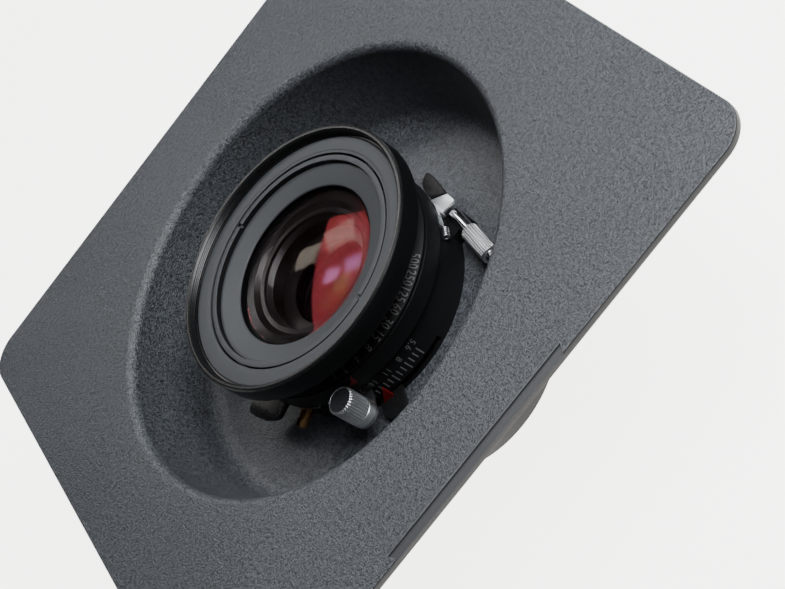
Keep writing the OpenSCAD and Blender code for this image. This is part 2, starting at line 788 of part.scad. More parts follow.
lens_board();
jam_nut();
shutter_case();
locating_stud();
blade_plate();
mechanism_plate();
front_cover();
cover_screws();
speed_index();
speed_ring_clip();
drive_spring();
aperture_scale_plate();
scale_plate_screws();
socket_bracket();
cable_release_tube();
cable_release_sleeve();
release_spring();
terminal_shell();
terminal_insulator();
terminal_pin();
terminal_clip();
front_barrel();
front_trim_ring();
front_retaining_ring();
front_baffle_cone();
front_element();
front_second_element();
front_inner_group();
rear_barrel();
rear_retaining_ring();
rear_element();
rear_second_element();
rear_inner_group();
speed_ring();
speed_cam_ring();
aperture_lever();
aperture_pointer();
iris_ring();
iris_blade(1);  // iris_blade_1
iris_blade(2);  // iris_blade_2
iris_blade(3);  // iris_blade_3
iris_blade(4);  // iris_blade_4
iris_blade(5);  // iris_blade_5
cocking_lever();
cocking_knob();
drive_ring();
release_lever();
release_tab();
press_focus_lever();
blade_ring();
shutter_blade(1);  // shutter_blade_1
shutter_blade(2);  // shutter_blade_2
shutter_blade(3);  // shutter_blade_3
shutter_blade(4);  // shutter_blade_4
shutter_blade(5);  // shutter_blade_5
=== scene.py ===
import math

import bmesh
import bpy
from mathutils import Matrix, Quaternion, Vector


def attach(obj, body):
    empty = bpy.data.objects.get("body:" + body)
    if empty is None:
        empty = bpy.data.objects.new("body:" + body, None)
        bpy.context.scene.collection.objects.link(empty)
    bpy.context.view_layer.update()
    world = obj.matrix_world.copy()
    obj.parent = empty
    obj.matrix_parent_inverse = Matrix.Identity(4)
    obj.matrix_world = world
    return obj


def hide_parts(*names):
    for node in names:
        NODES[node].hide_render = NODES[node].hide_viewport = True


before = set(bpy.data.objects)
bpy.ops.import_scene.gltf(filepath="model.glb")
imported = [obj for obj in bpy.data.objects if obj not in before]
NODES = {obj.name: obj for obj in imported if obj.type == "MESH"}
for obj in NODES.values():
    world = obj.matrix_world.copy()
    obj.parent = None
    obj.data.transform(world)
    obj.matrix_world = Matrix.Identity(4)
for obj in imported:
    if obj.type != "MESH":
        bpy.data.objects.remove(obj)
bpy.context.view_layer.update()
MM = 0.001

# ---------------------------------------------------------------- camera


def make_camera():
    data = bpy.data.cameras.new("camera")
    cam = bpy.data.objects.new("camera", data)
    bpy.context.scene.collection.objects.link(cam)
    data.sensor_width = 36
    data.lens = 75.9
    data.clip_start, data.clip_end = 0.01, 20
    right = Vector((-0.614843, 0.45624, -0.643283))
    up = Vector((-0.78049, -0.469044, 0.41332))
    back = Vector((-0.113155, 0.756203, 0.644479))
    place = Vector((-0.05197, 0.311457, 0.299583))
    m = Matrix.Identity(4)
    for i, axis in enumerate((right, up, back, place)):
        for k in range(3):
            m[k][i] = axis[k]
    cam.matrix_world = m
    bpy.context.scene.camera = cam


make_camera()

# ---------------------------------------------------------------- materials


class Paint:
    """A node tree with the few helpers that every material here uses."""

    def __init__(self, name):
        self.mat = bpy.data.materials.new(name)
        self.mat.use_nodes = True
        self.tree = self.mat.node_tree
        self.tree.nodes.clear()
        self.out = self.add("ShaderNodeOutputMaterial")
        self.bsdf = self.add("ShaderNodeBsdfPrincipled")
        self.link(self.bsdf.outputs[0], self.out.inputs["Surface"])
        self.coords = self.add("ShaderNodeTexCoord").outputs["Object"]

    def add(self, kind):
        return self.tree.nodes.new(kind)

    def link(self, a, b):
        self.tree.links.new(a, b)

    def noise(self, scale, detail=2.0, rough=0.5):
        n = self.add("ShaderNodeTexNoise")
        n.inputs["Scale"].default_value = scale
        n.inputs["Detail"].default_value = detail
        n.inputs["Roughness"].default_value = rough
        self.link(self.coords, n.inputs["Vector"])
        return n.outputs["Fac"]

    def span(self, fac, lo, hi, f0=0.3, f1=0.7):
        n = self.add("ShaderNodeMapRange")
        n.inputs["From Min"].default_value = f0
        n.inputs["From Max"].default_value = f1
        n.inputs["To Min"].default_value = lo
        n.inputs["To Max"].default_value = hi
        self.link(fac, n.inputs["Value"])
        return n.outputs[0]

    def mix(self, fac, a, b):
        n = self.add("ShaderNodeMix")
        n.data_type = "RGBA"
        for value, socket in ((fac, n.inputs[0]), (a, n.inputs[6]), (b, n.inputs[7])):
            if hasattr(value, "links"):
                self.link(value, socket)
            elif isinstance(value, (int, float)):
                socket.default_value = value
            else:
                socket.default_value = (*value, 1)
        return n.outputs[2]

    def math(self, op, a, b=0.5):
        n = self.add("ShaderNodeMath")
        n.operation = op
        for value, socket in ((a, n.inputs[0]), (b, n.inputs[1])):
            if hasattr(value, "links"):
                self.link(value, socket)
            else:
                socket.default_value = value
        return n.outputs[0]

    def bump(self, height, depth):
        n = self.add("ShaderNodeBump")
        n.inputs["Distance"].default_value = depth
        n.inputs["Strength"].default_value = 1.0
        self.link(height, n.inputs["Height"])
        return n.outputs[0]

    def put(self, **values):
        for key, value in values.items():
            socket = self.bsdf.inputs[key.replace("_", " ")]
            if hasattr(value, "links"):
                self.link(value, socket)
            elif isinstance(value, tuple) and len(value) == 3:
                socket.default_value = (*value, 1)
            else:
                socket.default_value = value
        return self


def varied(name, colour, rough, metal=0.0, spread=0.12, grain=900, depth=0.0, spec=0.5):
    """Plain paint or metal with slight changes of colour and gloss, and fine grain."""
    p = Paint(name)
    n = p.noise(grain, 3)
    wide = p.noise(90, 3)
    lo = tuple(c * (1 - spread) for c in colour)
    hi = tuple(min(1, c * (1 + spread)) for c in colour)
    mixed = p.mix(wide, lo, hi)
    p.put(Base_Color=mixed, Metallic=metal, Roughness=p.span(n, rough * 0.85, rough * 1.15))
    p.put(Specular_IOR_Level=spec)
    if depth:
        p.put(Normal=p.bump(n, depth))
    return p.mat


def crinkle_paint(name, colour, depth):
    """Black wrinkle enamel: shallow rounded wrinkles, with painted shade between them and painted
    highlight on their crests, and scattered light grey specks.
    """
    p = Paint(name)
    worms = p.noise(2300, 2.0, 0.55)
    lumps = p.noise(1000, 1.0, 0.5)
    height = p.math("ADD", p.math("MULTIPLY", worms, 0.7), p.math("MULTIPLY", lumps, 0.3))
    # painted shade in the wrinkle valleys and painted highlight on the crests: the colour follows the
    # bump height
    painted_wrinkle_shading = p.span(height, 0.3, 1.8, 0.38, 0.62)
    wide = p.span(p.noise(22, 4), 0.93, 1.07)
    shade = p.math("MULTIPLY", painted_wrinkle_shading, wide)
    base = p.add("ShaderNodeVectorMath")
    base.operation = "SCALE"
    base.inputs[0].default_value = colour
    p.link(shade, base.inputs["Scale"])
    col = base.outputs[0]
    specks = p.math("GREATER_THAN", p.noise(700, 6, 0.75), 0.745)
    col = p.mix(p.math("MULTIPLY", specks, 0.5), col, (0.3, 0.3, 0.3))
    p.put(Base_Color=col, Roughness=p.span(worms, 0.34, 0.5), Specular_IOR_Level=0.6)
    p.put(Normal=p.bump(height, depth))
    return p.mat


def glass(name, tint, reflect, strength):
    """Coated glass: clear, with a weak tinted reflection that grows towards grazing views."""
    p = Paint(name)
    p.tree.nodes.remove(p.bsdf)
    clear = p.add("ShaderNodeBsdfRefraction")
    clear.inputs["IOR"].default_value = 1.5
    clear.inputs["Roughness"].default_value = 0.0
    haze = p.noise(60, 1)
    p.link(p.mix(haze, tuple(c * 0.985 for c in tint), tint), clear.inputs["Color"])
    shine = p.add("ShaderNodeBsdfGlossy")
    shine.inputs["Roughness"].default_value = 0.005
    p.link(p.mix(haze, reflect, tuple(c * 0.98 for c in reflect)), shine.inputs["Color"])
    fres = p.add("ShaderNodeFresnel")
    fres.inputs["IOR"].default_value = 1.5
    join = p.add("ShaderNodeMixShader")
    p.link(p.math("MULTIPLY", fres.outputs[0], strength), join.inputs[0])
    p.link(clear.outputs[0], join.inputs[1])
    p.link(shine.outputs[0], join.inputs[2])
    p.link(join.outputs[0], p.out.inputs["Surface"])
    return p.mat


M = {
    "board": crinkle_paint("wrinkle_enamel", (0.050, 0.0545, 0.061), 0.00042),
    "board_smooth": varied("rebate_enamel", (0.035, 0.037, 0.041), 0.5, grain=2500, depth=0.00001),
    "worn": varied("worn_edge", (0.16, 0.165, 0.17), 0.45, metal=0.4, spread=0.5, grain=1500),
    "satin": varied("black_satin_paint", (0.0055, 0.0056, 0.006), 0.5, grain=2600, depth=0.000003,
                    spec=0.22),
    "barrel": varied("black_anodised", (0.005, 0.0051, 0.0055), 0.36, grain=3000, depth=0.000002,
                     spec=0.25),
    "rim": varied("black_anodised_rim", (0.006, 0.0061, 0.0065), 0.3, grain=3000, spec=0.3),
    "gray": varied("gray_matte_lacquer", (0.036, 0.039, 0.043), 0.6, spread=0.06, grain=4000,
                   depth=0.000004),
    "steel": varied("satin_steel", (0.42, 0.43, 0.44), 0.34, metal=1.0, grain=1800),
    "bright": varied("bright_steel", (0.85, 0.87, 0.88), 0.42, metal=1.0, spread=0.06, grain=1500),
    "chrome": varied("chrome_plate", (0.72, 0.73, 0.75), 0.09, metal=1.0, spread=0.05),
    "knurl": varied("satin_chrome", (0.82, 0.83, 0.83), 0.34, metal=1.0, spread=0.1, grain=2600),
    "dish": varied("turned_black_face", (0.03, 0.031, 0.034), 0.3, metal=0.4, grain=2000),
    "brass": varied("dull_brass", (0.26, 0.15, 0.065), 0.36, metal=1.0, spread=0.25, grain=1600),
    "plastic": varied("black_gloss_plastic", (0.008, 0.008, 0.0085), 0.3, spec=0.35),
    "leaf": varied("brown_black_leaf", (0.007, 0.0062, 0.0062), 0.5, spread=0.3, spec=0.2),
    "red": varied("red_paint", (0.11, 0.001, 0.001), 0.5, spread=0.15),
    "dim": varied("dim_gray_paint", (0.14, 0.143, 0.143), 0.5, spread=0.25),
    "blade": varied("blued_blades", (0.010, 0.0105, 0.012), 0.4, metal=0.3, spread=0.05),
    "front_glass": glass("front_glass_coated", (0.97, 0.96, 0.96), (1.0, 0.9, 0.76), 0.2),
    "dome_glass": glass("front_glass_rear_face", (0.97, 0.95, 0.95), (1.0, 0.13, 0.16), 0.3),
    "inner_glass": glass("inner_glass_coated", (0.9, 0.86, 0.8), (0.75, 0.4, 1.0), 0.25),
    "deep_glass": glass("deep_glass_coated", (0.7, 0.68, 0.6), (0.6, 0.7, 0.4), 0.2),
    "floor": varied("studio_floor", (0.8, 0.795, 0.78), 0.7, spread=0.015, grain=60),
}
# the pale floor is a light table, so that it stays bright in the object's shadow
glow = M["floor"].node_tree.nodes["Principled BSDF"].inputs
glow["Emission Color"].default_value = (0.93, 0.9, 0.87, 1)
glow["Emission Strength"].default_value = 5.0

# ---------------------------------------------------------------- mesh helpers


def at(a, r, z):
    """Point at clock angle a, clockwise from +Y seen from the front, in millimetres."""
    t = math.radians(a)
    return Vector((r * math.sin(t), r * math.cos(t), z))


def finish_mesh(name, bm, mats, body, nodes, angle=32):
    bmesh.ops.dissolve_degenerate(bm, dist=1e-6, edges=bm.edges)
    bmesh.ops.recalc_face_normals(bm, faces=bm.faces)
    bmesh.ops.scale(bm, vec=(MM, MM, MM), verts=bm.verts)
    me = bpy.data.meshes.new(name)
    bm.to_mesh(me)
    bm.free()
    for m in mats:
        me.materials.append(M[m])
    me.shade_smooth()
    me.set_sharp_from_angle(angle=math.radians(angle))
    obj = bpy.data.objects.new(name, me)
    bpy.context.scene.collection.objects.link(obj)
    if body:
        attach(obj, body)
    if nodes:
        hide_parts(*nodes)
    return obj


def soften(points, radius):
    """A closed outline with its corners rounded."""
    out = []
    n = len(points)
    for i in range(n):
        p, a, b = Vector(points[i]), Vector(points[i - 1]), Vector(points[(i + 1) % n])
        u, v = a - p, b - p
        if min(u.length, v.length) < 1e-6 or abs(p.x) < 1e-6:
            out.append(p)
            continue
        bend = u.angle(v)
        if bend > math.radians(168):
            out.append(p)
            continue
        cut = min(radius / math.tan(bend / 2), 0.42 * u.length, 0.42 * v.length)
        p0, p1 = p + u.normalized() * cut, p + v.normalized() * cut
        for k in range(4):
            t = k / 3
            out.append(p0 * (1 - t) ** 2 + p * 2 * t * (1 - t) + p1 * t * t)
    return out


def skin(bm, rows, closed=True, pick=None):
    """Quads between rings of points; each ring closes on itself."""
    grid = [[bm.verts.new(p) for p in row] for row in rows]
    n, m = len(rows), len(rows[0])
    for i in range(n if closed else n - 1):
        this, after = grid[i], grid[(i + 1) % n]
        for j in range(m):
            quad = (this[j], this[(j + 1) % m], after[(j + 1) % m], after[j])
            f = bm.faces.new(quad)
            if pick:
                f.material_index = pick(i, j)
    bmesh.ops.remove_doubles(bm, verts=bm.verts, dist=1e-5)


def turn(name, points, mats, body, nodes, steps=288, soft=0.12, pick=None, angle=32):
    """A ring turned about the optical axis from a closed outline of (radius, height)."""
    outline = soften(points, soft) if soft else [Vector(p) for p in points]
    rows = [[at(360 * j / steps, p.x, p.y) for j in range(steps)] for p in outline]
    bm = bmesh.new()
    chosen = None
    if pick:
        mid = [(outline[i] + outline[(i + 1) % len(outline)]) / 2 for i in range(len(outline))]
        chosen = lambda i, j: pick(mid[i].x, mid[i].y)
    skin(bm, rows, True, chosen)
    return finish_mesh(name, bm, mats, body, nodes, angle)


def face_arc(z, rc, h, n):
    """Points of a lens face from the axis out to h; rc positive when it falls to the rear."""
    s = 1 if rc > 0 else -1
    r = abs(rc)
    out = []
    for i in range(n + 1):
        x = h * i / n
        out.append((x, z - s * (r - math.sqrt(r * r - x * x))))
    return out


def prism(bm, outline, z0, z1, bevel=0.0, mat=0):
    """A flat plate from an outline of (x, y) points."""
    low = [bm.verts.new((x, y, z0)) for x, y in outline]
    high = [bm.verts.new((x, y, z1)) for x, y in outline]
    n = len(outline)
    faces = [bm.faces.new(low[::-1]), bm.faces.new(high)]
    for i in range(n):
        faces.append(bm.faces.new((low[i], low[(i + 1) % n], high[(i + 1) % n], high[i])))
    for f in faces:
        f.material_index = mat
    if bevel:
        edges = [e for e in bm.edges if e.verts[0] in low and e.verts[1] in low]
        edges += [e for e in bm.edges if e.verts[0] in high and e.verts[1] in high]
        bmesh.ops.bevel(bm, geom=edges, offset=bevel, segments=2, profile=0.6, affect="EDGES")


def carve(obj, cut, mats):
    """Cuts a closed shape, in millimetres, out of an object."""
    bmesh.ops.recalc_face_normals(cut, faces=cut.faces)
    bmesh.ops.scale(cut, vec=(MM, MM, MM), verts=cut.verts)
    me = bpy.data.meshes.new("cutter")
    cut.to_mesh(me)
    cut.free()
    for m in mats:
        me.materials.append(M[m])
    cutter = bpy.data.objects.new("cutter", me)
    bpy.context.scene.collection.objects.link(cutter)
    mod = obj.modifiers.new("carve", "BOOLEAN")
    mod.operation = "DIFFERENCE"
    mod.solver = "EXACT"
    mod.object = cutter
    dg = bpy.context.evaluated_depsgraph_get()
    made = bpy.data.meshes.new_from_object(obj.evaluated_get(dg))
    obj.modifiers.clear()
    obj.data = made
    bpy.data.objects.remove(cutter)


def along(points, origin, axis, steps, wave=None):
    """Rings of a turned or knurled bar: points are (radius, distance along the axis)."""
    axis = Vector(axis).normalized()
    side = axis.orthogonal().normalized()
    other = axis.cross(side)
    rows = []
    for i, (r, d) in enumerate(points):
        row = []
        for k in range(steps):
            t = 2 * math.pi * k / steps
            rr = r - (wave(i, k) if wave else 0.0)
            row.append(Vector(origin) + axis * d + (side * math.cos(t) + other * math.sin(t)) * rr)
        rows.append(row)
    return rows


def arc_plate(bm, ri, ro, a0, a1, z0, z1, bevel=0.06, n=24, mat=0):
    inner = [at(a0 + (a1 - a0) * k / n, ri, 0).xy for k in range(n + 1)]
    outer = [at(a1 + (a0 - a1) * k / n, ro, 0).xy for k in range(n + 1)]
    prism(bm, inner + outer, z0, z1, bevel, mat)


# ---------------------------------------------------------------- lens board

SEAT = 37.5
TOP = 63.0
HALF, CORNER, EDGE = 85.5, 9.0, 0.45


def board():
    """Square plate with rounded edges and a turned recess, as one closed skin."""
    def outline_at(inset):
        """Points of the rounded square, the same number at every inset."""
        h, r = HALF - inset, CORNER - inset
        c = h - r
        pts = []
        for q in range(4):
            turn_q = math.radians(90 * q)
            for k in range(60):
                pts.append((Vector((-c + 2 * c * k / 60, h)), turn_q))
            for k in range(24):
                t = math.radians(90 - 90 * k / 24)
                pts.append((Vector((c + r * math.cos(t), c + r * math.sin(t))), turn_q))
        out = []
        for p, t in pts:
            c_t, s_t = math.cos(t), math.sin(t)
            out.append(Vector((p.x * c_t + p.y * s_t, -p.x * s_t + p.y * c_t)))
        return out

    base = outline_at(0)
    angles = [math.degrees(math.atan2(p.x, p.y)) for p in base]

    def square_row(inset, z):
        return [Vector((p.x, p.y, z)) for p in outline_at(inset)]

    def round_row(r, z):
        return [at(a, r, z) for a in angles]

    back = TOP - 2
    rows = []
    for k in range(5):
        t = math.radians(90 * k / 4)
        rows.append(square_row(EDGE * (1 - math.cos(t)), TOP - EDGE + EDGE * math.sin(t)))
    lip_r, lip_z = 2.4, TOP - 2.4
    lean_deg = 13.4
    lean = math.radians(lean_deg)
    fil = 5.0
    fz = SEAT + fil
    drop = lip_z - fz + fil * math.sin(lean)
    fr = 58.6 - drop * math.tan(lean) - fil * math.cos(lean)
    rows.append(round_row(61.35, TOP))
    for k in range(11):
        t = math.radians(90 + (90 + lean_deg) * k / 10)
        rows.append(round_row(61.0 + lip_r * math.cos(t), lip_z + lip_r * math.sin(t)))
    for k in range(13):
        t = -lean - (math.pi / 2 - lean) * k / 12
        rows.append(round_row(fr + fil * math.cos(t), fz + fil * math.sin(t)))
    for r in (44, 34, 24, 17.5, 17.3):
        rows.append(round_row(r, SEAT - (0.2 if r == 17.3 else 0)))
    rows.append(round_row(17.3, SEAT - 2))
    rows.append(round_row(40, SEAT - 2))
    for k in range(9):
        t = -math.pi / 2 + (math.pi / 2 - lean) * k / 8
        rows.append(round_row(fr + 7 * math.cos(t), fz + 7 * math.sin(t)))
    rows.append(round_row(60.75, back))
    for k in range(4):
        t = math.radians(90 * k / 3)
        rows.append(square_row(0.3 * (1 - math.sin(t)), back + 0.3 * (1 - math.cos(t))))
    bm = bmesh.new()
    last = len(rows) - 1
    skin(bm, rows, True, lambda i, j: 3 if i < 2 or i > last - 3 else 0)
    obj = finish_mesh("lens_board_shell", bm, ["board", "board_smooth", "worn", "satin"], "lens",
                      ["lens_board"], 30)

    # the rebate for the camera's lock, with worn edges
    cut = bmesh.new()
    y_in, y_out, half, slant = HALF - 2.5, HALF + 1, 27.75, 1.6
    low_z, chamfer = TOP - 0.5, 0.14
    def loop(z, grow):
        return [cut.verts.new(v) for v in (
            (-half - grow, y_in - grow, z), (half + grow, y_in - grow, z),
            (half - slant + grow, y_out, z), (slant - half - grow, y_out, z))]
    levels = [loop(low_z, 0), loop(TOP - chamfer, 0), loop(TOP + 0.1, chamfer + 0.1)]
    f = cut.faces.new(levels[0][::-1])
    f.material_index = 1
    cut.faces.new(levels[2])
    for i, (under, over) in enumerate(zip(levels, levels[1:])):
        for j in range(4):
            f = cut.faces.new((under[j], under[(j + 1) % 4], over[(j + 1) % 4], over[j]))
            f.material_index = 1 if i == 0 else 2
    carve(obj, cut, ("board", "board_smooth", "worn", "satin"))


board()

# ---------------------------------------------------------------- front cell

RIM_Z = 67.4
BORE_R = 33.25
SHELF = 64.3


def front_cell():
    thread = []
    pitch, depth = 0.5, 0.26
    z = RIM_Z - 0.55
    while z - pitch > SHELF + 0.72:
        thread += [(BORE_R, z), (BORE_R + depth, z - pitch * 0.45), (BORE_R, z - pitch * 0.9)]
        z -= pitch
    outline = [
        (13.65, 46.2), (14.35, 46.2), (14.35, 50.0), (14.75, 50.0), (14.75, 57.9), (16.35, 57.9),
        (25, 58.5), (33.6, 60.1), (34.9, 61.4), (34.9, 66.9), (34.62, 67.3), (34.3, 67.4),
        (33.8, 67.4), (33.45, 67.1)] + thread + [
        (33.25, 65.02), (32.85, 65.02), (32.85, 64.3), (28.35, 64.3), (28.35, 61.7),
        (26.3, 61.7), (23.6, 60.7), (22.55, 60.7), (22.55, 59.5), (20.6, 59.5), (17.4, 59.05),
        (13.65, 56.1)]
    turn("front_barrel_shell", outline, ["barrel", "rim"], "lens", ["front_barrel"],
         steps=360, soft=0.06, pick=lambda r, z: 1 if z > 64.9 else 0)
    turn("front_trim_ring_turned", [
        (28.4, 64.32), (32.8, 64.32), (32.8, 64.8), (32.5, 65.0), (29.3, 65.0), (29.1, 64.9),
        (28.4, 64.9)],
        ["gray"], "lens", ["front_trim_ring"], steps=288, soft=0.08)

    # threaded ring with two spanner notches
    z0, z1 = SHELF - 2.5, SHELF + 0.45
    steps = 480
    notch_depth = 0.75
    notch = {j for j in range(steps) for a in (-10, 170)
             if abs((360 * j / steps - a + 180) % 360 - 180) < 1.0}
    prof = soften([(26.5, z0), (27.9, z0), (27.9, z1), (26.5, z1)], 0.14)
    rows = []
    for p in prof:
        notch_z = min(p.y, z1 - notch_depth)
        rows.append([at(360 * j / steps, p.x, notch_z if j in notch else p.y) for j in range(steps)])

    def top_face(i, j):
        return 1 if (prof[i].y + prof[(i + 1) % len(prof)].y) / 2 > z1 - 0.1 else 0

    bm = bmesh.new()
    skin(bm, rows, True, top_face)
    finish_mesh("front_retaining_ring_cut", bm, ["rim", "gray"], "lens", ["front_retaining_ring"],
                32)

    turn("front_baffle_turned", [
        (20.9, 61.85), (21.3, 61.4), (25.9, 62.8), (26.4, 62.8), (26.4, 63.4), (25.7, 63.4),
        (21.15, 62.2)],
        ["gray"], "lens", ["front_baffle_cone"], steps=288, soft=0.12)


front_cell()

# ---------------------------------------------------------------- glass


def glass_piece(name, points, mats, node, pick=None):
    turn(name, points, mats, "lens", [node], steps=192, soft=0, pick=pick, angle=25)


def lenses():
    sag = lambda rc, h: rc - math.sqrt(rc * rc - h * h)
    low = 59.52
    front = face_arc(64.9, 52, 20.6, 24) + [(22.5, low + 0.7), (22.5, low), (20.05, low)]
    front += face_arc(low + sag(92, 20), 92, 20, 24)[::-1]

    def edge(r, z):
        if r > 20.6 or (r > 20.0 and z < low + 0.1):
            return 1
        return 0 if z > 63.3 - 0.0075 * r * r else 2

    glass_piece("front_element_ground", front, ["front_glass", "barrel", "dome_glass"],
                "front_element", edge)
    low2 = 51.0
    second = face_arc(low2 + 4.6, 24, 10.4, 16) + [(13.6, low2 + 2.2), (13.6, low2), (10.5, low2)]
    second += face_arc(low2 + 2.9, 20.5, 10.4, 14)[::-1]
    glass_piece("front_second_element_ground", second, ["inner_glass", "barrel"], "front_second_element",
                lambda r, z: 1 if r > 10.4 else 0)
    low3 = 46.7
    third = face_arc(low3 + 5.4, 28, 12, 14) + [(13.6, low3 + 2.2), (13.6, low3 + 0.6)]
    third += face_arc(low3, -60, 12, 10)[::-1]
    glass_piece("front_inner_group_ground", third, ["deep_glass"], "front_inner_group")


lenses()

# ---------------------------------------------------------------- shutter face


def shutter_face():
    turn("front_cover_turned", [
        (16.9, 49.4), (30.0, 49.4), (30.0, 48.8), (31.2, 48.8), (31.2, 53.8), (30.0, 53.8),
        (30.0, 50.2), (16.9, 50.2)],
        ["satin"], "lens", ["front_cover"], steps=288, soft=0.18)
    turn("speed_ring_turned", [
        (17.1, 54.8), (27.2, 54.8), (28.4, 54.0), (28.4, 51.4), (29.6, 51.4), (29.6, 54.05),
        (30.9, 54.05), (30.9, 54.5), (27.2, 57.0), (17.1, 57.0)],
        ["satin"], "speed_setting", ["speed_ring"], steps=288, soft=0.16)


shutter_face()

# ---------------------------------------------------------------- numerals


def text_mesh(body, height, squeeze=0.8):
    """Flat closed mesh of a numeral of the given height, centred, in millimetres."""
    curve = bpy.data.curves.new("numeral", "FONT")
    curve.body = body
    curve.size = height * 1.4
    curve.extrude = 0.012
    curve.resolution_u = 3
    curve.align_x = "CENTER"
    curve.space_character = 1.08
    obj = bpy.data.objects.new("numeral", curve)
    bpy.context.scene.collection.objects.link(obj)
    dg = bpy.context.evaluated_depsgraph_get()
    me = bpy.data.meshes.new_from_object(obj.evaluated_get(dg))
    bpy.data.objects.remove(obj)
    bm = bmesh.new()
    bm.from_mesh(me)
    lo = min(v.co.y for v in bm.verts)
    hi = max(v.co.y for v in bm.verts)
    fit = height / (hi - lo)
    for v in bm.verts:
        v.co.x *= squeeze * fit
        v.co.y = (v.co.y - (lo + hi) / 2) * fit
    return bm


def wrap(bm, clock, radius_at, z_at, lift):
    """Bends a flat mesh round the axis: x runs clockwise, y outwards and to the rear."""
    for v in bm.verts:
        u, w, h = v.co
        r = radius_at(w)
        n = Vector((0.56, 0.829)) if lift == "bevel" else Vector((1, 0))
        rr = r + n.x * (h + 0.014)
        a = clock + math.degrees(u / r)
        v.co = at(a, rr, z_at(w) + n.y * (h + 0.014))


def numerals():
    slope = math.hypot(3.7, 2.5)
    mid = (29.75, 55.277)
    speeds = [("500", -37.7), ("250", -29.5), ("125", -21.6), ("60", -14.1), ("30", -6.9),
              ("15", -0.3), ("8", 6.8), ("4", 14), ("2", 21.6), ("1", 27.8)]
    joined = bmesh.new()
    for body, a in speeds:
        bm = text_mesh(body, 2.2)
        wrap(bm, a, lambda w: mid[0] + 3.7 / slope * w, lambda w: mid[1] - 2.5 / slope * w, "bevel")
        me = bpy.data.meshes.new("tmp")
        bm.to_mesh(me)
        bm.free()
        joined.from_mesh(me)
    finish_mesh("speed_numerals", joined, ["dim"], "speed_setting", None, 40)

    joined = bmesh.new()
    stops = [("5.6", -4.3), ("8", 4), ("11", 12), ("16", 20.3), ("22", 28.5), ("32", 36.7), ("45", 44.9)]
    for body, a in stops:
        bm = text_mesh(body, 1.9)
        wrap(bm, a, lambda w: 30.0, lambda w: 45.9 - w, "side")
        me = bpy.data.meshes.new("tmp")
        bm.to_mesh(me)
        bm.free()
        joined.from_mesh(me)
    first_mark, mark_step = -4.3, 2.733
    for k in range(19):
        a = first_mark + mark_step * k
        long = k % 3 == 0
        z1 = 44.0 if a < 21 else 43.4
        z0 = 41.0 if long else 41.7
        w = 0.16
        half = math.degrees(w / 30.0)
        vs = []
        for r in (30.002, 30.03):
            vs.append([joined.verts.new(at(a + s * half, r, z))
                       for s, z in ((-1, z0), (1, z0), (1, z1), (-1, z1))])
        joined.faces.new(vs[0][::-1])
        joined.faces.new(vs[1])
        for i in range(4):
            joined.faces.new((vs[0][i], vs[0][(i + 1) % 4], vs[1][(i + 1) % 4], vs[1][i]))
    finish_mesh("aperture_scale_marks", joined, ["dim"], "lens", None, 40)


numerals()

# ---------------------------------------------------------------- knob and levers


def cocking():
    grooves, per = 30, 10
    steps = grooves * per
    base = 2.2
    top = 8.8
    points = [(0, 0), (3.3, 0), (3.55, 0.2), (3.55, base - 0.15), (3.4, base + 0.05), (3.46, base + 0.2),
              (3.6, base + 0.35), (3.6, top - 0.5), (3.4, top - 0.25), (3.15, top), (3.05, top),
              (2.98, top - 0.1), (2.9, top - 0.32), (2.4, top - 0.42), (1.6, top - 0.5),
              (0.8, top - 0.53), (0, top - 0.54)]
    depth = {5: 0.05, 6: 0.26, 7: 0.26, 8: 0.2, 9: 0.06}

    def wave(i, k):
        d = depth.get(i, 0)
        return d * (0.5 - 0.5 * math.cos(2 * math.pi * (k % per) / per)) ** 1.4 if d else 0

    centre = at(29, 35.4, 44.7)
    bm = bmesh.new()
    skin(bm, along(points, centre, (0, 0, 1), steps, wave), False, lambda i, j: 1 if i >= 11 else 0)
    finish_mesh("cocking_knob_knurled", bm, ["knurl", "dish"], "cocking", ["cocking_knob"],
                30)

    bm = bmesh.new()
    c = at(29, 35.4, 0)
    d = at(29, 1, 0).xy.normalized()
    s = Vector((d.y, -d.x))
    out = [at(29, 26.8, 0).xy - s * 2.5, at(29, 26.8, 0).xy + s * 2.5]
    for k in range(25):
        t = math.radians(90 - 180 * k / 24)
        out.append(c.xy + d * (3.45 * math.cos(t)) + s * (3.45 * math.sin(t)))
    prism(bm, [tuple(p) for p in out], 43.9, 44.7, 0.1)
    finish_mesh("cocking_lever_arm", bm, ["steel"], "cocking", ["cocking_lever"], 30)


cocking()


def aperture():
    bm = bmesh.new()
    a = 20.3
    d = at(a, 1, 0).xy
    s = Vector((d.y, -d.x))
    tip, half = 36.8, 3.4
    out = [d * 27.4 - s * half, d * 27.4 + s * half]
    for k in range(33):
        t = math.radians(90 - 180 * k / 32)
        out.append(d * (tip - half) + d * (half * math.cos(t)) + s * (half * math.sin(t)))
    prism(bm, [tuple(p) for p in out], 38.6, 39.6, 0.16)
    finish_mesh("aperture_lever_plate", bm, ["plastic"], "aperture_setting", ["aperture_lever"],
                30)

    bm = bmesh.new()
    z0, r0 = 39.62, 30.45
    shape = soften([(-0.7, z0), (2.5, z0), (-0.4, z0 + 3.9), (-0.7, z0 + 3.9)], 0.12)
    lows, highs = [], []
    for p in shape:
        base = s * p.x
        lows.append(bm.verts.new((*(d * r0 + base), p.y)))
        highs.append(bm.verts.new((*(d * (r0 + 0.7) + base), p.y)))
    bm.faces.new(lows)
    bm.faces.new(highs[::-1])
    n = len(shape)
    for i in range(n):
        bm.faces.new((lows[i], lows[(i + 1) % n], highs[(i + 1) % n], highs[i]))
    finish_mesh("aperture_pointer_painted", bm, ["red"], "aperture_setting", ["aperture_pointer"],
                30)


aperture()


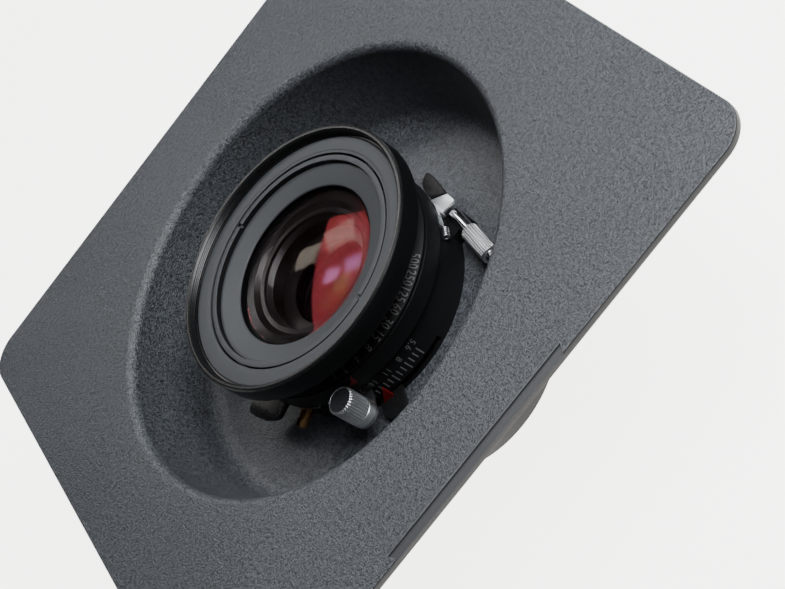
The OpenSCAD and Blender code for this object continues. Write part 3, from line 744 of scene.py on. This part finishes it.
def release():
    r0, r1 = 29.95, 30.75
    bm = bmesh.new()
    tab = [(-30.4, 1.2), (-33.9, 4.3), (-33.9, 7.5), (-33.75, 7.9), (-33.4, 8.1)]
    tab += [tuple(at(-75.9 - 11.8 * k / 10, r0, 0).xy) for k in range(11)]
    prism(bm, tab, 43.35, 44.1, 0.12)
    prism(bm, [(-33.3, 4.0), (-33.3, 4.9), (-29.66, 4.9), (-29.7, 4.0)], 40.05, 43.45, 0.1)
    arc_plate(bm, r0, r1, -80, -74, 43.35, 46.95, 0.1)
    arc_plate(bm, r0, r1, -80, -64, 45.95, 46.95, 0.1)
    arc_plate(bm, r0, r1, -69, -64, 45.95, 47.95, 0.1)
    arc_plate(bm, 24, r1, -69, -64, 47.15, 47.95, 0.1)
    arc_plate(bm, 24, 27.6, -80, -60, 47.15, 47.95, 0.1)
    finish_mesh("release_lever_bent", bm, ["bright"], "release", ["release_lever"], 30)

    bm = bmesh.new()
    leaf = [(-33.9, 4.27), (-34.15, 2.2), (-34.3, 0.4), (-34.5, -1.4), (-34.75, -3.2),
            (-34.9, -4.6), (-34.8, -5.8), (-34.5, -6.4), (-34.1, -6.45), (-33.0, -6.1),
            (-31.7, -5.2), (-30.95, -3.6), (-30.55, -1.4), (-30.4, 1.17)]
    prism(bm, leaf[::-1], 43.4, 44.5, 0.3)
    finish_mesh("release_tab_leaf", bm, ["leaf"], "release", ["release_tab"], 40)


release()


def cable_socket():
    origin = Vector((-31.4, 5.9, 41.4))
    axis = Vector((math.sin(math.radians(4.3)), math.cos(math.radians(4.3)), 0))
    tube = [(1.3, 23.2), (1.3, 2.2), (1.45, 2.2), (1.65, 2.4), (1.65, 22.6), (1.42, 23.2)]
    bm = bmesh.new()
    skin(bm, along(tube, origin, axis, 64), True)
    finish_mesh("cable_release_tube_turned", bm, ["chrome"], "lens", ["cable_release_tube"],
                30)
    grooves, per = 22, 12
    sleeve = [(1.68, 10.6), (2.1, 10.6), (2.3, 10.75), (2.36, 11.0), (2.42, 11.2), (2.42, 21.3),
              (2.36, 21.5), (2.28, 21.75), (2.0, 21.9), (1.68, 21.9)]
    depth = {3: 0.08, 4: 0.26, 5: 0.26, 6: 0.08}

    def wave(i, k):
        dd = depth.get(i, 0)
        return dd * (0.5 - 0.5 * math.cos(2 * math.pi * (k % per) / per)) ** 3 if dd else 0

    bm = bmesh.new()
    skin(bm, along(sleeve, origin, axis, grooves * per, wave), True)
    finish_mesh("cable_release_sleeve_knurled", bm, ["knurl"], "lens", ["cable_release_sleeve"],
                30)


cable_socket()


def focus_wing():
    bm = bmesh.new()
    arc_plate(bm, 25.8, 34, 81, 93, 44.8, 45.4, 0.08)
    edge = [(94, 34), (94.3, 36.6), (94.2, 37.8), (93.3, 38.7), (91, 38.9), (87, 38.4),
            (83, 37.6), (79, 36.6), (76, 35.4), (75, 34.6)]
    outline = [tuple(at(a, r, 0).xy) for a, r in edge]
    outline += [tuple(at(75 + 19 * k / 12, 30.2, 0).xy) for k in range(13)]
    prism(bm, outline, 44.8, 46.0, 0.3)
    finish_mesh("press_focus_wing", bm, ["plastic"], "press_focus", ["press_focus_lever"],
                30)


focus_wing()


def terminal():
    z = 45.0
    axis = at(62, 1, 0)
    side = Vector((axis.y, -axis.x, 0))
    prof = [(0.85, 28.3), (1.1, 28.3), (1.1, 29.75), (1.7, 29.75), (1.7, 31.1), (1.6, 31.2), (1.5, 31.2),
            (1.5, 35.05), (1.42, 35.2), (1.22, 35.2), (1.15, 35.1), (1.15, 30.2), (0.85, 30.2)]
    bm = bmesh.new()
    skin(bm, along(prof, (0, 0, z), axis, 72), True)
    obj = finish_mesh("terminal_shell_split", bm, ["brass"], "lens", ["terminal_shell"], 30)
    slot = bmesh.new()
    corners = ((33.5, -0.5), (36.5, -0.5), (36.5, 0.5), (33.5, 0.5))
    low, high = ([slot.verts.new(axis * d + side * w + Vector((0, 0, h))) for d, w in corners]
                 for h in (z, z + 3))
    slot.faces.new(low[::-1])
    slot.faces.new(high)
    for i in range(4):
        slot.faces.new((low[i], low[(i + 1) % 4], high[(i + 1) % 4], high[i]))
    carve(obj, slot, ("brass",))


terminal()

# ---------------------------------------------------------------- finishes of the kept nodes

KEEP = {
    "satin": ["shutter_case", "aperture_scale_plate", "socket_bracket", "jam_nut", "scale_plate_screws"],
    "steel": ["blade_plate", "mechanism_plate", "speed_ring_clip", "drive_spring", "speed_cam_ring",
              "iris_ring", "drive_ring", "blade_ring", "release_spring", "terminal_clip",
              "cover_screws", "locating_stud"],
    "barrel": ["rear_barrel", "rear_retaining_ring"],
    "plastic": ["terminal_insulator"],
    "brass": ["terminal_pin"],
    "red": ["speed_index"],
    "blade": ["iris_blade_%d" % i for i in range(1, 6)] + ["shutter_blade_%d" % i for i in range(1, 6)],
    "deep_glass": ["rear_element", "rear_second_element", "rear_inner_group"],
}
for key, names in KEEP.items():
    for n in names:
        NODES[n].data.materials.clear()
        NODES[n].data.materials.append(M[key])

# ---------------------------------------------------------------- floor and light


def studio():
    bm = bmesh.new()
    s = 4.0
    vs = [bm.verts.new(p) for p in ((-s, -s, 0), (s, -s, 0), (s, s, 0), (-s, s, 0))]
    bm.faces.new(vs)
    me = bpy.data.meshes.new("floor")
    bm.to_mesh(me)
    bm.free()
    me.materials.append(M["floor"])
    floor = bpy.data.objects.new("floor", me)
    bpy.context.scene.collection.objects.link(floor)
    floor.location.z = -0.0002

    world = bpy.data.worlds.new("studio")
    bpy.context.scene.world = world
    world.use_nodes = True
    back = world.node_tree.nodes["Background"]
    back.inputs["Color"].default_value = (0.93, 0.96, 1.0, 1)
    back.inputs["Strength"].default_value = 0.08

    def softbox(name, place, aim, size, power, colour, roll=0):
        light = bpy.data.lights.new(name, "AREA")
        light.shape = "RECTANGLE"
        light.size, light.size_y = size
        light.energy = power
        light.color = colour
        obj = bpy.data.objects.new(name, light)
        bpy.context.scene.collection.objects.link(obj)
        obj.location = place
        obj.rotation_mode = "QUATERNION"
        face = (Vector(aim) - Vector(place)).to_track_quat("-Z", "Y")
        obj.rotation_quaternion = face @ Quaternion((0, 0, 1), math.radians(roll))
        return obj

    softbox("back", (0.08, -0.88, 0.93), (0, 0, 0.06), (0.21, 0.27), 2.4, (1.0, 0.97, 0.93), 40)
    softbox("overhead", (-0.65, -0.42, 1.3), (-0.65, -0.42, 0), (1.3, 1.35), 3.0, (0.95, 0.97, 1.0))
    softbox("key", (-0.38, 0.25, 0.62), (-0.02, 0, 0.05), (0.42, 0.42), 9.0, (0.95, 0.97, 1.0))
    softbox("sheen", (-0.3, -0.88, 1.12), (-0.05, 0.05, 0.06), (0.34, 0.34), 4.5, (0.95, 0.97, 1.0))


studio()
